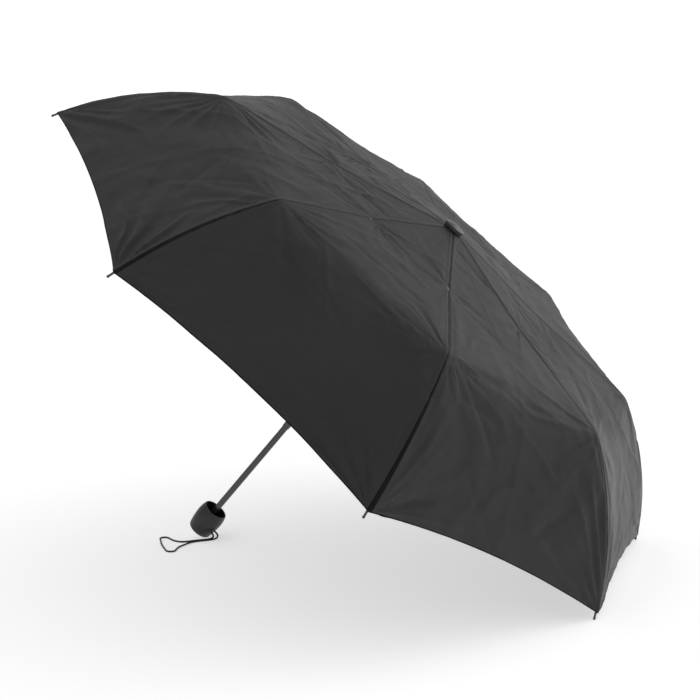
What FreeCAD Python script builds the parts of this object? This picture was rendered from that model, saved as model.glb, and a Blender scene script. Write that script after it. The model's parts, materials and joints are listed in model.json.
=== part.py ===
import FreeCAD, Part
import math
import os

# A compact folding umbrella: a three-section telescoping shaft, a runner, and eight ribs that each
# fold in three. It stands open, lying on the tips of ribs 1 and 8 and on the edge of its handle.
#
# Each piece is first built on an upright shaft: +Z runs up the shaft, height 0 is the top of the
# cap, and radius is the distance from the shaft's middle. A rib is drawn in the plane y = 0 as
# (radius, height) points, with y as the sideways distance from that plane, and is then turned about
# the shaft. At the end everything is laid down together.
# Lengths are in millimetres and angles in degrees.

# ---- the ribs: where their pivots are when the umbrella is open, as (radius, height)
rib_count = 8
rib_pitch = 360.0 / rib_count
notch_pivot = (8.0, -14.0)
elbow_pivot = (163.0, -34.0)
knee_pivot = (330.0, -50.3)
tip_centre = (485.0, -199.0)
outer_rib_bow = 30.0
seat_distance = 80.0
stretcher_length = 84.0
runner_pivot_radius = 9.2
lever_length = 12.0
lever_bend = 21.65

# ---- how far out the folded pivots lie
elbow_folded_radius = 13.0
knee_folded_radius = 16.0
tip_folded_radius = 9.0

# ---- the ribs' sections: half depth, and how far to each side the three layers reach
top_rib_half_depth = 1.5
stretcher_half_depth = 1.3
middle_rib_half_depth = 1.4
connecting_bar_half_depth = 1.0
near_layer = (-2.0, -0.2)
mid_layer = (0.2, 2.0)
far_layer = (2.6, 3.6)
channel_wall = 0.4
eye_margin = 4.0
rivet_radius = 0.7
rivet_head_radius = 1.25
rivet_head = 0.4
running_clearance = 0.06
ring_wire_radius = 0.7
ring_clearance = 0.3
tension_wire_radius = 0.4
outer_wire_radius = 0.9
tip_sleeve_radius = 1.35
tip_sleeve_turn = 1.3
tip_ball_radius = 1.7

# ---- the shaft: tube radii, and heights of their ends when it is drawn out
tube_wall = 0.4
lower_tube_radius = 4.3
middle_tube_radius = 5.1
upper_tube_radius = 5.9
upper_tube_ends = (-204.0, -7.6)
middle_tube_ends = (-361.0, -184.0)
lower_tube_ends = (-549.0, -341.0)
bush_length = 13.0
collar_length = 6.5
middle_tube_travel = 155.0
upper_tube_travel = 163.0

# ---- the notch, the cap and the runner
notch_radius = 10.6
notch_top = -7.9
notch_shoulder = 6.4
notch_bevel = 1.0
notch_bottom = -18.6
slot_ceiling = -12.0
slot_width = 2.4
notch_pin_radius = 0.9
notch_pin_height = -10.4
cap_radius = 14.0
cap_band_bottom = -6.6
cap_band_top = -2.6
cap_lip = 1.0
runner_sleeve_radius = 7.9
runner_crown_radius = 11.0
runner_crown_half_height = 3.4
runner_length = 31.0
runner_grip_radius = 9.6
runner_bore_clearance = 0.08
button_travel = 1.2
button_radius = 2.2
button_length = 4.2
button_turn = 180.0
button_below_pivots = 19.0
socket_floor = 6.8
boss_size = (4.0, 7.0, 10.0)
boss_inner = 6.4

# ---- the handle
handle_rim = -520.5
handle_length = 40.0
handle_rim_radius = 17.0
handle_waist_radius = 19.25
handle_waist = -534.5
handle_foot_radius = 16.9
handle_corner = 5.0
cup_radius = 15.5
cup_depth = 24.0
boss_radius = 7.0

# ---- the cover
fabric_gap = 2.1
fabric_thickness = 0.4
hub_edge = (7.0, -7.15)
hem_stop = 6.5
bow_steps = 5
tie_strap_size = (105.0, 18.0, 0.8)
tie_strap_rib = 3

# ---- the wrist strap: a limp cord, both of whose ends are fixed in the handle's side
strap_radius = 1.25
strap_hole_height = 13.5
strap_hole_floor = 12.0
strap_hole_turns = (12.0, -20.0)
strap_route = [
    (-215.3, 2.8, 10.8),
    (-212.4, 3.6, 8.4),
    (-209.3, 3.7, 5.8),
    (-206.3, 1.4, 3.6),
    (-204.6, -3.2, 2.1),
    (-204.8, -8.6, 1.5),
    (-207.4, -14.6, 1.3),
    (-213.0, -20.4, 1.3),
    (-220.4, -26.4, 1.3),
    (-226.8, -33.2, 1.3),
    (-231.2, -42.0, 1.3),
    (-233.2, -52.5, 1.3),
    (-235.6, -63.5, 1.3),
    (-234.6, -74.0, 1.3),
    (-233.2, -80.5, 1.3),
    (-232.8, -84.5, 1.3),
    (-234.8, -87.9, 1.3),
    (-238.4, -89.6, 1.3),
    (-242.3, -88.7, 1.3),
    (-245.4, -85.6, 1.3),
    (-250.6, -78.0, 1.3),
    (-259.2, -66.0, 1.3),
    (-267.6, -51.5, 1.3),
    (-273.0, -41.0, 1.3),
    (-276.6, -34.4, 1.3),
    (-277.3, -30.4, 1.3),
    (-275.4, -26.9, 1.3),
    (-271.7, -25.4, 1.3),
    (-267.4, -26.9, 1.3),
    (-261.4, -32.6, 1.3),
    (-253.0, -38.4, 1.3),
    (-244.0, -40.2, 1.3),
    (-236.4, -36.6, 1.3),
    (-230.3, -29.7, 1.3),
    (-223.4, -23.6, 1.3),
    (-216.6, -18.4, 1.3),
    (-211.9, -15.2, 1.5),
    (-208.9, -12.7, 2.5),
    (-207.8, -10.0, 4.4),
    (-209.5, -7.6, 6.2),
    (-212.3, -6.3, 8.2),
    (-214.7, -5.2, 10.1),
]


def along(start, heading, length):
    """The point at a distance and heading from a (radius, height) point."""
    turn = math.radians(heading)
    return (start[0] + length * math.cos(turn), start[1] + length * math.sin(turn))


def heading_of(start, end):
    return math.degrees(math.atan2(end[1] - start[1], end[0] - start[0]))


def distance(start, end):
    return math.hypot(end[0] - start[0], end[1] - start[1])


def hanging(pivot, length, radius):
    """The lower end of a bar of that length, hung from a pivot, at a given radius."""
    return (radius, pivot[1] - math.sqrt(length ** 2 - (radius - pivot[0]) ** 2))


def standing(pivot, length, radius):
    """The upper end of a bar of that length, stood on a pivot, at a given radius."""
    return (radius, pivot[1] + math.sqrt(length ** 2 - (radius - pivot[0]) ** 2))


def rib_pivots(folded):
    """Every pivot of one rib, as (radius, height) points, open or folded."""
    pivots = {"notch": notch_pivot, "elbow": elbow_pivot, "knee": knee_pivot, "tip": tip_centre}
    if folded:
        top_length = distance(notch_pivot, elbow_pivot)
        middle_length = distance(elbow_pivot, knee_pivot)
        outer_length = distance(knee_pivot, tip_centre)
        pivots["elbow"] = hanging(notch_pivot, top_length, elbow_folded_radius)
        pivots["knee"] = standing(pivots["elbow"], middle_length, knee_folded_radius)
        pivots["tip"] = hanging(pivots["knee"], outer_length, tip_folded_radius)
    top_heading = heading_of(pivots["notch"], pivots["elbow"])
    pivots["seat"] = along(pivots["notch"], top_heading, seat_distance)
    pivots["runner"] = hanging(pivots["seat"], stretcher_length, runner_pivot_radius)
    stretcher_heading = heading_of(pivots["runner"], pivots["seat"])
    pivots["bar_start"] = along(pivots["runner"], stretcher_heading, stretcher_length - lever_length)
    middle_heading = heading_of(pivots["elbow"], pivots["knee"])
    pivots["bar_end"] = along(pivots["elbow"], middle_heading + 180.0 + lever_bend, lever_length)
    return pivots


bar_ends = {
    "top_rib": ("notch", "elbow"),
    "stretcher": ("runner", "seat"),
    "connecting_bar": ("bar_start", "bar_end"),
    "middle_rib": ("elbow", "knee"),
    "outer_rib": ("knee", "tip"),
}
open_rib = rib_pivots(False)
folded_rib = rib_pivots(True)
runner_height = open_rib["runner"][1]
runner_travel = runner_height - folded_rib["runner"][1]


def fold_angle(bar):
    """How far a bar turns from open to folded; positive lifts its outer end."""
    start, end = bar_ends[bar]
    return heading_of(folded_rib[start], folded_rib[end]) - heading_of(open_rib[start], open_rib[end])


def wire_side():
    """How far the outer ribs' wires lie to the side of their ribs' planes."""
    return (near_layer[0] + near_layer[1]) / 2


def rib_turn(number):
    """A rib's direction about the shaft, with ribs 1 and 8, which it lies on, at equal heights."""
    return (number - 0.5) * rib_pitch - math.degrees(math.asin(wire_side() / tip_centre[0]))


# ---- shapes that several pieces share

def vector(radius, side, height):
    return FreeCAD.Vector(radius, side, height)


def turned_solid(points, sweep=360.0):
    """A solid of revolution about the shaft, from an outline of (radius, height) points."""
    corners = [vector(radius, 0, height) for radius, height in points]
    outline = Part.makePolygon(corners + corners[:1])
    return Part.Face(outline).revolve(vector(0, 0, 0), vector(0, 0, 1), sweep)


def tube(outer, inner, bottom, top):
    wall = Part.makeCylinder(outer, top - bottom, vector(0, 0, bottom))
    return wall.cut(Part.makeCylinder(inner, top - bottom, vector(0, 0, bottom)))


def crosswise(radius, point, low, high):
    """A cylinder across a rib's plane, from side low to side high."""
    return Part.makeCylinder(radius, high - low, vector(point[0], low, point[1]), vector(0, 1, 0))


def sideways_edge(start, end, offset):
    """A line parallel to start-end in the rib's plane, offset to its upper side."""
    normal = heading_of(start, end) + 90.0
    first = along(start, normal, offset)
    last = along(end, normal, offset)
    return vector(first[0], 0, first[1]), vector(last[0], 0, last[1])


def link(start, end, half_depth, layer):
    """A flat bar with round ends about its two pivots."""
    heading = heading_of(start, end)
    upper_start, upper_end = sideways_edge(start, end, half_depth)
    lower_start, lower_end = sideways_edge(start, end, -half_depth)
    nose = along(end, heading, half_depth)
    tail = along(start, heading, -half_depth)
    edges = [
        Part.LineSegment(upper_start, upper_end).toShape(),
        Part.Arc(upper_end, vector(nose[0], 0, nose[1]), lower_end).toShape(),
        Part.LineSegment(lower_end, lower_start).toShape(),
        Part.Arc(lower_start, vector(tail[0], 0, tail[1]), upper_start).toShape(),
    ]
    bar = Part.Face(Part.Wire(edges)).extrude(vector(0, layer[1] - layer[0], 0))
    bar.translate(vector(0, layer[0], 0))
    return bar


def channel(start, end, half_depth, layer):
    """A link whose length between its eyes is a U-section, open below."""
    bar = link(start, end, half_depth, layer)
    heading = heading_of(start, end)
    inner_start = along(start, heading, eye_margin)
    corner = along(inner_start, heading - 90.0, half_depth + 1.0)
    groove = Part.makeBox(
        distance(start, end) - 2 * eye_margin,
        layer[1] - layer[0] - 2 * channel_wall,
        2 * half_depth + 1.0 - channel_wall,
    )
    groove.translate(vector(0, layer[0] + channel_wall, 0))
    groove.rotate(vector(0, 0, 0), vector(0, 1, 0), -heading)
    groove.translate(vector(corner[0], 0, corner[1]))
    return bar.cut(groove)


def formed_head(point, layer, outward):
    """The head of a rivet that is closed flush on the layer's other face."""
    if outward > 0:
        return crosswise(rivet_head_radius, point, layer[1], layer[1] + rivet_head)
    return crosswise(rivet_head_radius, point, layer[0] - rivet_head, layer[0])


def rivet(point, first_layer, last_layer):
    """A rivet fixed in the first layer, that runs freely through the last."""
    far_face = last_layer[1] + 0.05
    shank = crosswise(rivet_radius, point, first_layer[0], far_face)
    near_head = crosswise(rivet_head_radius, point, first_layer[0] - rivet_head, first_layer[0])
    far_head = crosswise(rivet_head_radius, point, far_face, far_face + rivet_head)
    return shank.fuse([near_head, far_head])


def bored(bar, point, radius):
    return bar.cut(crosswise(radius, point, -5.0, 5.0))


def ring(radius, height):
    return Part.makeTorus(radius, ring_wire_radius, vector(0, 0, height))


def about_shaft(shape, turn):
    placed = shape.copy()
    placed.rotate(vector(0, 0, 0), vector(0, 0, 1), turn)
    return placed


# ---- one rib, drawn in the plane y = 0; each function gives the solids of one node

def top_rib():
    start, end = open_rib["notch"], open_rib["elbow"]
    bar = channel(start, end, top_rib_half_depth, near_layer)
    bar = bored(bar, start, ring_wire_radius + ring_clearance)
    bar = bored(bar, end, rivet_radius)
    seat_head = formed_head(open_rib["seat"], near_layer, -1)
    return [bar.fuse(seat_head), rivet(end, near_layer, mid_layer)]


def stretcher():
    start, end = open_rib["runner"], open_rib["seat"]
    bar = channel(start, end, stretcher_half_depth, mid_layer)
    bar = bored(bar, start, ring_wire_radius + ring_clearance)
    bar = bored(bar, open_rib["bar_start"], rivet_radius)
    seat_head = formed_head(end, mid_layer, 1)
    far_face = far_layer[1] + 0.05
    shank = crosswise(rivet_radius, open_rib["bar_start"], mid_layer[0], far_face)
    head = crosswise(rivet_head_radius, open_rib["bar_start"], far_face, far_face + rivet_head)
    return [bar.fuse(seat_head), shank.fuse(head)]


def connecting_bar():
    start, end = open_rib["bar_start"], open_rib["bar_end"]
    bar = link(start, end, connecting_bar_half_depth, far_layer)
    bar = bar.fuse(crosswise(rivet_head_radius, start, *far_layer)).removeSplitter()
    bar = bored(bar, start, rivet_radius + running_clearance)
    return [bar.fuse(formed_head(end, far_layer, 1))]


def middle_rib():
    start, end = open_rib["elbow"], open_rib["knee"]
    bar = channel(start, end, middle_rib_half_depth, mid_layer)
    lever = link(start, open_rib["bar_end"], middle_rib_half_depth, mid_layer)
    bar = bored(bar.fuse(lever), start, rivet_radius + running_clearance)
    bar = bored(bar, end, rivet_radius)
    knee_rivet = rivet(end, near_layer, mid_layer).mirror(vector(0, 0, 0), vector(0, 1, 0))
    return [bar, knee_rivet, tension_wire()]


def tension_wire():
    """The wire that lies in the middle rib's channel and draws the outer rib in."""
    start, end = open_rib["elbow"], open_rib["knee"]
    heading = heading_of(start, end)
    first = along(start, heading, eye_margin + 1.0)
    length = distance(start, end) - 2 * (eye_margin + 1.0)
    middle = (mid_layer[0] + mid_layer[1]) / 2
    direction = vector(math.cos(math.radians(heading)), 0, math.sin(math.radians(heading)))
    return Part.makeCylinder(tension_wire_radius, length, vector(first[0], middle, first[1]), direction)


def outer_rib_curve():
    """The bowed outer rib's arc: its middle, its radius, and the directions to its two ends."""
    start, end = open_rib["knee"], open_rib["tip"]
    chord = distance(start, end)
    radius = chord / 2 / math.sin(math.radians(outer_rib_bow / 2))
    centre_drop = radius * math.cos(math.radians(outer_rib_bow / 2))
    halfway = ((start[0] + end[0]) / 2, (start[1] + end[1]) / 2)
    centre = along(halfway, heading_of(start, end) - 90.0, centre_drop)
    return centre, radius, heading_of(centre, start), heading_of(centre, end)


def on_outer_rib(fraction, offset=0.0):
    """A point at a fraction of the outer rib's arc, offset to its outer side."""
    centre, radius, first, last = outer_rib_curve()
    return along(centre, first + (last - first) * fraction, radius + offset)


def bowed_wire(wire_radius, first_turn, turn):
    """A stretch of round wire along the outer rib's arc, starting first_turn along it."""
    centre, radius, first, last = outer_rib_curve()
    start = along(centre, first - first_turn, radius)
    at = vector(start[0], wire_side(), start[1])
    tangent_turn = math.radians(first - first_turn - 90.0)
    tangent = vector(math.cos(tangent_turn), 0, math.sin(tangent_turn))
    section = Part.Face(Part.Wire(Part.makeCircle(wire_radius, at, tangent)))
    return section.revolve(vector(centre[0], wire_side(), centre[1]), vector(0, 1, 0), turn)


def outer_rib():
    knee = open_rib["knee"]
    eye_length = 9.0
    wire_start = 1.3
    centre, radius, first = outer_rib_curve()[:3]
    eye_end = along(centre, first - math.degrees(eye_length / radius), radius)
    eye = link(knee, eye_end, middle_rib_half_depth, near_layer)
    eye = bored(eye, knee, rivet_radius + running_clearance)
    ball_turn = math.degrees(tip_ball_radius / 2 / radius)
    wire = bowed_wire(outer_wire_radius, wire_start, outer_rib_bow - wire_start - ball_turn)
    sleeve = bowed_wire(tip_sleeve_radius, outer_rib_bow - ball_turn - tip_sleeve_turn, tip_sleeve_turn)
    ball = Part.makeSphere(tip_ball_radius, vector(tip_centre[0], wire_side(), tip_centre[1]))
    tip = ball.fuse(sleeve).cut(wire)
    return [eye.fuse(wire), tip]


rib_nodes = {
    "top_rib": top_rib,
    "stretcher": stretcher,
    "connecting_bar": connecting_bar,
    "middle_rib": middle_rib,
    "outer_rib": outer_rib,
}


# ---- the shaft

def lower_tube():
    return [tube(lower_tube_radius, lower_tube_radius - tube_wall, *lower_tube_ends)]


def middle_tube():
    return [tube(middle_tube_radius, middle_tube_radius - tube_wall, *middle_tube_ends)]


def upper_tube():
    body = tube(upper_tube_radius, upper_tube_radius - tube_wall, *upper_tube_ends)
    return [body.cut(notch_pin()[0])]


def slide_bush(inner_tube_radius, outer_tube_radius, top):
    """The nylon bush on the upper end of a tube, that runs in the next tube's bore."""
    outside = outer_tube_radius - tube_wall - running_clearance
    return [tube(outside, inner_tube_radius, top - bush_length, top)]


def end_collar(inner_tube_radius, outer_tube_radius, bottom):
    """The collar in the lower end of a tube, that the next tube runs through."""
    outside = outer_tube_radius - tube_wall
    return [tube(outside, inner_tube_radius + running_clearance, bottom, bottom + collar_length)]


def lower_tube_bush():
    return slide_bush(lower_tube_radius, middle_tube_radius, lower_tube_ends[1])


def middle_tube_bush():
    return slide_bush(middle_tube_radius, upper_tube_radius, middle_tube_ends[1])


def middle_tube_collar():
    return end_collar(lower_tube_radius, middle_tube_radius, middle_tube_ends[0])


def upper_tube_collar():
    return end_collar(middle_tube_radius, upper_tube_radius, upper_tube_ends[0])


# ---- the notch and the cap

def pivot_slots(layer, inner, bottom, top):
    """Eight radial slots, for the rib ends that sit in one layer."""
    slots = []
    middle = (layer[0] + layer[1]) / 2
    for number in range(1, rib_count + 1):
        slot = Part.makeBox(10.0, slot_width, top - bottom)
        slot.translate(vector(inner, middle - slot_width / 2, bottom))
        slots.append(about_shaft(slot, rib_turn(number)))
    return slots


def top_notch():
    body = turned_solid([
        (upper_tube_radius, notch_top),
        (notch_shoulder, notch_top),
        (notch_radius, notch_top - notch_bevel),
        (notch_radius, notch_bottom + 1.0),
        (notch_radius - 1.0, notch_bottom),
        (upper_tube_radius, notch_bottom),
    ])
    body = body.cut(pivot_slots(near_layer, upper_tube_radius + 0.3, notch_bottom - 1.0, slot_ceiling))
    return [body.cut([ring(notch_pivot[0], notch_pivot[1]), notch_pin()[0]])]


def notch_ring():
    return [ring(notch_pivot[0], notch_pivot[1])]


def notch_pin():
    """The cross pin that holds the notch on the tube."""
    reach = notch_radius - 1.0
    start = vector(-reach, 0, notch_pin_height)
    return [Part.makeCylinder(notch_pin_radius, 2 * reach, start, vector(1, 0, 0))]


def cap():
    """A domed cap with an upright band, and a stub that sits in the tube."""
    stub_radius = upper_tube_radius - tube_wall
    stub_bottom = upper_tube_ends[1] - 1.4
    cap_underside = cap_band_bottom + 0.6
    crown_edge = cap_radius - 1.2
    crown_drop = -cap_band_top - 0.4
    outline = [
        (crown_edge, -crown_drop),
        (cap_radius - 0.3, cap_band_top),
        (cap_radius, cap_band_top - 0.5),
        (cap_radius, cap_band_bottom),
        (cap_radius - cap_lip, cap_band_bottom),
        (cap_radius - cap_lip, cap_underside),
        (stub_radius, cap_underside),
        (stub_radius, stub_bottom),
        (0, stub_bottom),
    ]
    corners = [vector(radius, 0, height) for radius, height in outline]
    edges = [Part.LineSegment(a, b).toShape() for a, b in zip(corners, corners[1:])]
    crown = Part.Arc(vector(0, 0, 0), vector(crown_edge * 0.5, 0, -crown_drop * 0.25), corners[0])
    edges += [crown.toShape(), Part.LineSegment(corners[-1], vector(0, 0, 0)).toShape()]
    return [Part.Face(Part.Wire(edges)).revolve(vector(0, 0, 0), vector(0, 0, 1), 360.0)]


# ---- the runner, its ring and its button

button_height = runner_height - button_below_pivots


def runner_bore():
    return upper_tube_radius + runner_bore_clearance


def runner():
    top = runner_height + runner_crown_half_height
    bottom = top - runner_length
    crown_bottom = runner_height - runner_crown_half_height
    body = turned_solid([
        (runner_bore(), top),
        (runner_crown_radius, top),
        (runner_crown_radius, crown_bottom),
        (runner_sleeve_radius, crown_bottom - 3.0),
        (runner_sleeve_radius, bottom + 5.0),
        (runner_grip_radius, bottom + 2.5),
        (runner_grip_radius, bottom),
        (runner_bore(), bottom),
    ])
    depth, width, height = boss_size
    boss = Part.makeBox(depth, width, height, vector(boss_inner, -width / 2, button_height - height / 2))
    boss = boss.cut(Part.makeCylinder(runner_bore() + 0.4, height, vector(0, 0, button_height - height / 2)))
    body = body.fuse(about_shaft(boss, button_turn))
    socket = Part.makeCylinder(button_radius + 0.3, 10, vector(socket_floor, 0, button_height), vector(1, 0, 0))
    cuts = pivot_slots(mid_layer, runner_bore() + 1.2, crown_bottom - 1.0, top + 1.0)
    cuts += [ring(runner_pivot_radius, runner_height), about_shaft(socket, button_turn)]
    return [body.cut(cuts)]


def runner_ring():
    return [ring(runner_pivot_radius, runner_height)]


def runner_button():
    """The push button; its inner end stops short of the socket's floor by its travel."""
    start = socket_floor + button_travel + 0.1
    stem = Part.makeCylinder(button_radius, button_length, vector(start, 0, button_height), vector(1, 0, 0))
    return [about_shaft(stem, button_turn)]


# ---- the handle

def handle():
    """The moulded shell: a cup that takes the folded rib tips, closed below by the foot plug."""
    foot = handle_rim - handle_length
    corner_middle = (handle_foot_radius - handle_corner, foot + handle_corner)
    rim_inner = vector(cup_radius, 0, handle_rim)
    rim_outer = vector(handle_rim_radius, 0, handle_rim)
    waist = vector(handle_waist_radius, 0, handle_waist)
    side_foot = vector(handle_foot_radius, 0, corner_middle[1])
    corner_turn = math.radians(-45.0)
    corner_mid = vector(
        corner_middle[0] + handle_corner * math.cos(corner_turn),
        0,
        corner_middle[1] + handle_corner * math.sin(corner_turn),
    )
    foot_edge = vector(corner_middle[0], 0, foot)
    cup_floor = handle_rim - cup_depth
    plug_radius = corner_middle[0] - 1.0
    plug_top = foot + 3.0
    edges = [
        Part.LineSegment(rim_inner, rim_outer).toShape(),
        Part.Arc(rim_outer, vector(18.6, 0, handle_rim - 6.0), waist).toShape(),
        Part.Arc(waist, vector(18.55, 0, (handle_waist + corner_middle[1]) / 2), side_foot).toShape(),
        Part.Arc(side_foot, corner_mid, foot_edge).toShape(),
    ]
    inside = [
        foot_edge,
        vector(plug_radius, 0, foot),
        vector(plug_radius, 0, plug_top),
        vector(boss_radius, 0, plug_top),
        vector(boss_radius, 0, cup_floor),
        vector(cup_radius, 0, cup_floor),
        rim_inner,
    ]
    edges += [Part.LineSegment(a, b).toShape() for a, b in zip(inside, inside[1:])]
    shell = Part.Face(Part.Wire(edges)).revolve(vector(0, 0, 0), vector(0, 0, 1), 360.0)
    above_floor = Part.makeCylinder(2 * handle_waist_radius, cup_depth, vector(0, 0, cup_floor))
    base = shell.cut([above_floor] + [strap_hole(turn) for turn in strap_hole_turns])
    return [shell.common(above_floor), base]


def handle_core():
    """The plug in the middle of the handle, that holds the lower tube."""
    foot = handle_rim - handle_length
    return [tube(boss_radius, lower_tube_radius, foot + 3.0, handle_rim - 11.0)]


def foot_plug():
    foot = handle_rim - handle_length
    radius = handle_foot_radius - handle_corner - 1.0
    return [Part.makeCylinder(radius, 3.0, vector(0, 0, foot))]


# ---- the cover

def cover_profile():
    """The open cover's outer face above a rib, from the hub to the hem, as (radius, height)."""
    outer_offset = fabric_gap + fabric_thickness
    top_heading = heading_of(open_rib["notch"], open_rib["elbow"])
    points = [hub_edge]
    points.append(along(open_rib["elbow"], top_heading + 90.0, outer_offset))
    points.append(on_outer_rib(0.0, outer_offset))
    hem_fraction = 1.0 - math.degrees(hem_stop / outer_rib_curve()[1]) / outer_rib_bow
    for step in range(1, bow_steps + 1):
        points.append(on_outer_rib(hem_fraction * step / bow_steps, outer_offset))
    return points


def cover_panel(profile, first_turn):
    """A closed panel between two ribs, from one stretch of the profile; every face is flat."""
    inner = [(radius, height - fabric_thickness) for radius, height in profile]

    def on_rib(point, turn):
        angle = math.radians(turn)
        return vector(point[0] * math.cos(angle), point[0] * math.sin(angle), point[1])

    turns = (first_turn, first_turn + rib_pitch)
    faces = []
    for line in (profile, inner):
        for near, far in zip(line, line[1:]):
            corners = [on_rib(near, turns[0]), on_rib(far, turns[0])]
            corners += [on_rib(far, turns[1]), on_rib(near, turns[1])]
            faces.append(Part.Face(Part.makePolygon(corners + corners[:1])))
    for end in (0, -1):
        corners = [on_rib(profile[end], turns[0]), on_rib(profile[end], turns[1])]
        corners += [on_rib(inner[end], turns[1]), on_rib(inner[end], turns[0])]
        faces.append(Part.Face(Part.makePolygon(corners + corners[:1])))
    for turn in turns:
        corners = [on_rib(point, turn) for point in profile + inner[::-1]]
        faces.append(Part.Face(Part.makePolygon(corners + corners[:1])))
    panel = Part.Solid(Part.Shell(faces))
    if panel.Volume < 0:
        panel.reverse()
    return panel


def canopy():
    profile = cover_profile()
    knee = 2
    panels = []
    for number in range(1, rib_count + 1):
        panels.append(cover_panel(profile[:knee + 1], rib_turn(number)))
        panels.append(cover_panel(profile[knee:], rib_turn(number)))
    return panels


def tie_strap():
    """The short strap that wraps the folded cover; it lies on a panel, just above the hem."""
    profile = cover_profile()
    above_hem, hem = profile[-2], profile[-1]
    half_pitch = math.cos(math.radians(rib_pitch / 2))
    above_hem = (above_hem[0] * half_pitch, above_hem[1])
    hem = (hem[0] * half_pitch, hem[1])
    slope = heading_of(hem, above_hem)
    length, width, thickness = tie_strap_size
    lift = along(along(hem, slope, 12.0), slope - 90.0, 0.1)
    strap = Part.makeBox(width, length, thickness, vector(0, -length / 2, 0))
    strap.rotate(vector(0, 0, 0), vector(0, 1, 0), 180.0 - slope)
    strap.translate(vector(lift[0], 0, lift[1]))
    return [about_shaft(strap, rib_turn(tie_strap_rib) + rib_pitch / 2)]


# ---- the wrist strap's holes, in the handle's side just above the foot

def strap_hole(turn):
    start = vector(strap_hole_floor, 0, handle_rim - handle_length + strap_hole_height)
    return about_shaft(Part.makeCylinder(strap_radius + 0.3, 12.0, start, vector(1, 0, 0)), turn)


# ---- how it lies: the lean of the shaft, and where the upright umbrella's origin goes

def resting_lean():
    """How far the shaft rises from the floor, with the tips' balls and the foot's corner touching."""
    half_pitch = math.cos(math.radians(rib_pitch / 2))
    ball = (math.hypot(tip_centre[0], wire_side()) * half_pitch, tip_centre[1])
    foot = (handle_foot_radius - handle_corner, handle_rim - handle_length + handle_corner)
    rise = math.degrees(math.asin((handle_corner - tip_ball_radius) / distance(foot, ball)))
    return 90.0 - heading_of(foot, ball) - rise


def laid_down(nodes):
    """Lay the upright umbrella over towards +X, its box standing on the middle of the floor, Z = 0."""
    tilt = FreeCAD.Rotation(vector(0, 1, 0), 90.0 - resting_lean())
    foot = vector(handle_foot_radius - handle_corner, 0, handle_rim - handle_length + handle_corner)
    rise = handle_corner - tilt.multVec(foot).z
    umbrella = Part.makeCompound([solid for solids in nodes.values() for solid in solids])
    umbrella.Placement = FreeCAD.Placement(vector(0, 0, rise), tilt)
    box = umbrella.optimalBoundingBox(False)
    middle = vector((box.XMin + box.XMax) / 2, (box.YMin + box.YMax) / 2, 0)
    return FreeCAD.Placement(vector(0, 0, rise) - middle, tilt)


# ---- the wrist strap, as it lies on the floor: out of one hole, round its loop and into the other

def strap_path():
    """Straight runs through the route, joined by tangent arcs; prints each arc's radius."""
    points = [vector(*point) for point in strap_route]
    edges = []
    radii = []
    start = points[0]
    for before, corner, after in zip(points, points[1:], points[2:]):
        back = (before - corner).normalize()
        ahead = (after - corner).normalize()
        shorter = min(before.distanceToPoint(corner), after.distanceToPoint(corner))
        half_turn = (math.pi - back.getAngle(ahead)) / 2
        reach = 0.45 * shorter
        radius = reach / math.tan(half_turn)
        arc_start = corner + back * reach
        arc_end = corner + ahead * reach
        inward = (back + ahead).normalize()
        arc_middle = corner + inward * (radius / math.cos(half_turn) - radius)
        edges.append(Part.LineSegment(start, arc_start).toShape())
        edges.append(Part.Arc(arc_start, arc_middle, arc_end).toShape())
        radii.append(round(radius, 1))
        start = arc_end
    edges.append(Part.LineSegment(start, points[-1]).toShape())
    print("strap arcs' radii", radii)
    return Part.Wire(edges)


def wrist_strap():
    path = strap_path()
    start = vector(*strap_route[0])
    direction = (vector(*strap_route[1]) - start).normalize()
    section = Part.Wire(Part.makeCircle(strap_radius, start, direction))
    cord = path.makePipeShell([section], True, False)
    expected = math.pi * strap_radius ** 2 * path.Length
    print("strap length", round(path.Length, 1), "volume over section times length", cord.Volume / expected)
    return [cord]


shaft_nodes = {
    "lower_tube": lower_tube,
    "lower_tube_bush": lower_tube_bush,
    "middle_tube": middle_tube,
    "middle_tube_collar": middle_tube_collar,
    "middle_tube_bush": middle_tube_bush,
    "upper_tube": upper_tube,
    "upper_tube_collar": upper_tube_collar,
    "top_notch": top_notch,
    "notch_ring": notch_ring,
    "notch_pin": notch_pin,
    "cap": cap,
    "runner": runner,
    "runner_ring": runner_ring,
    "runner_button": runner_button,
    "handle": handle,
    "handle_core": handle_core,
    "foot_plug": foot_plug,
    "canopy": canopy,
    "tie_strap": tie_strap,
}


def all_nodes():
    """Every node's name and its solids on the upright shaft."""
    nodes = {name: make() for name, make in shaft_nodes.items()}
    for kind, make in rib_nodes.items():
        solids = make()
        for number in range(1, rib_count + 1):
            nodes[f"{kind}_{number}"] = [about_shaft(solid, rib_turn(number)) for solid in solids]
    return nodes


def main():
    os.makedirs("parts", exist_ok=True)
    nodes = all_nodes()
    place = laid_down(nodes)
    for name, solids in nodes.items():
        for solid in solids:
            solid.Placement = place.multiply(solid.Placement)
    nodes["wrist_strap"] = wrist_strap()
    for name, solids in nodes.items():
        Part.makeCompound(solids).exportStep(f"parts/{name}.step")
        print(name, len(solids), all(solid.isValid() for solid in solids))


if __name__ == "__main__":
    main()
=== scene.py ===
import json
import math

import bpy
import numpy as np
from mathutils import Matrix, Vector


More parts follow.
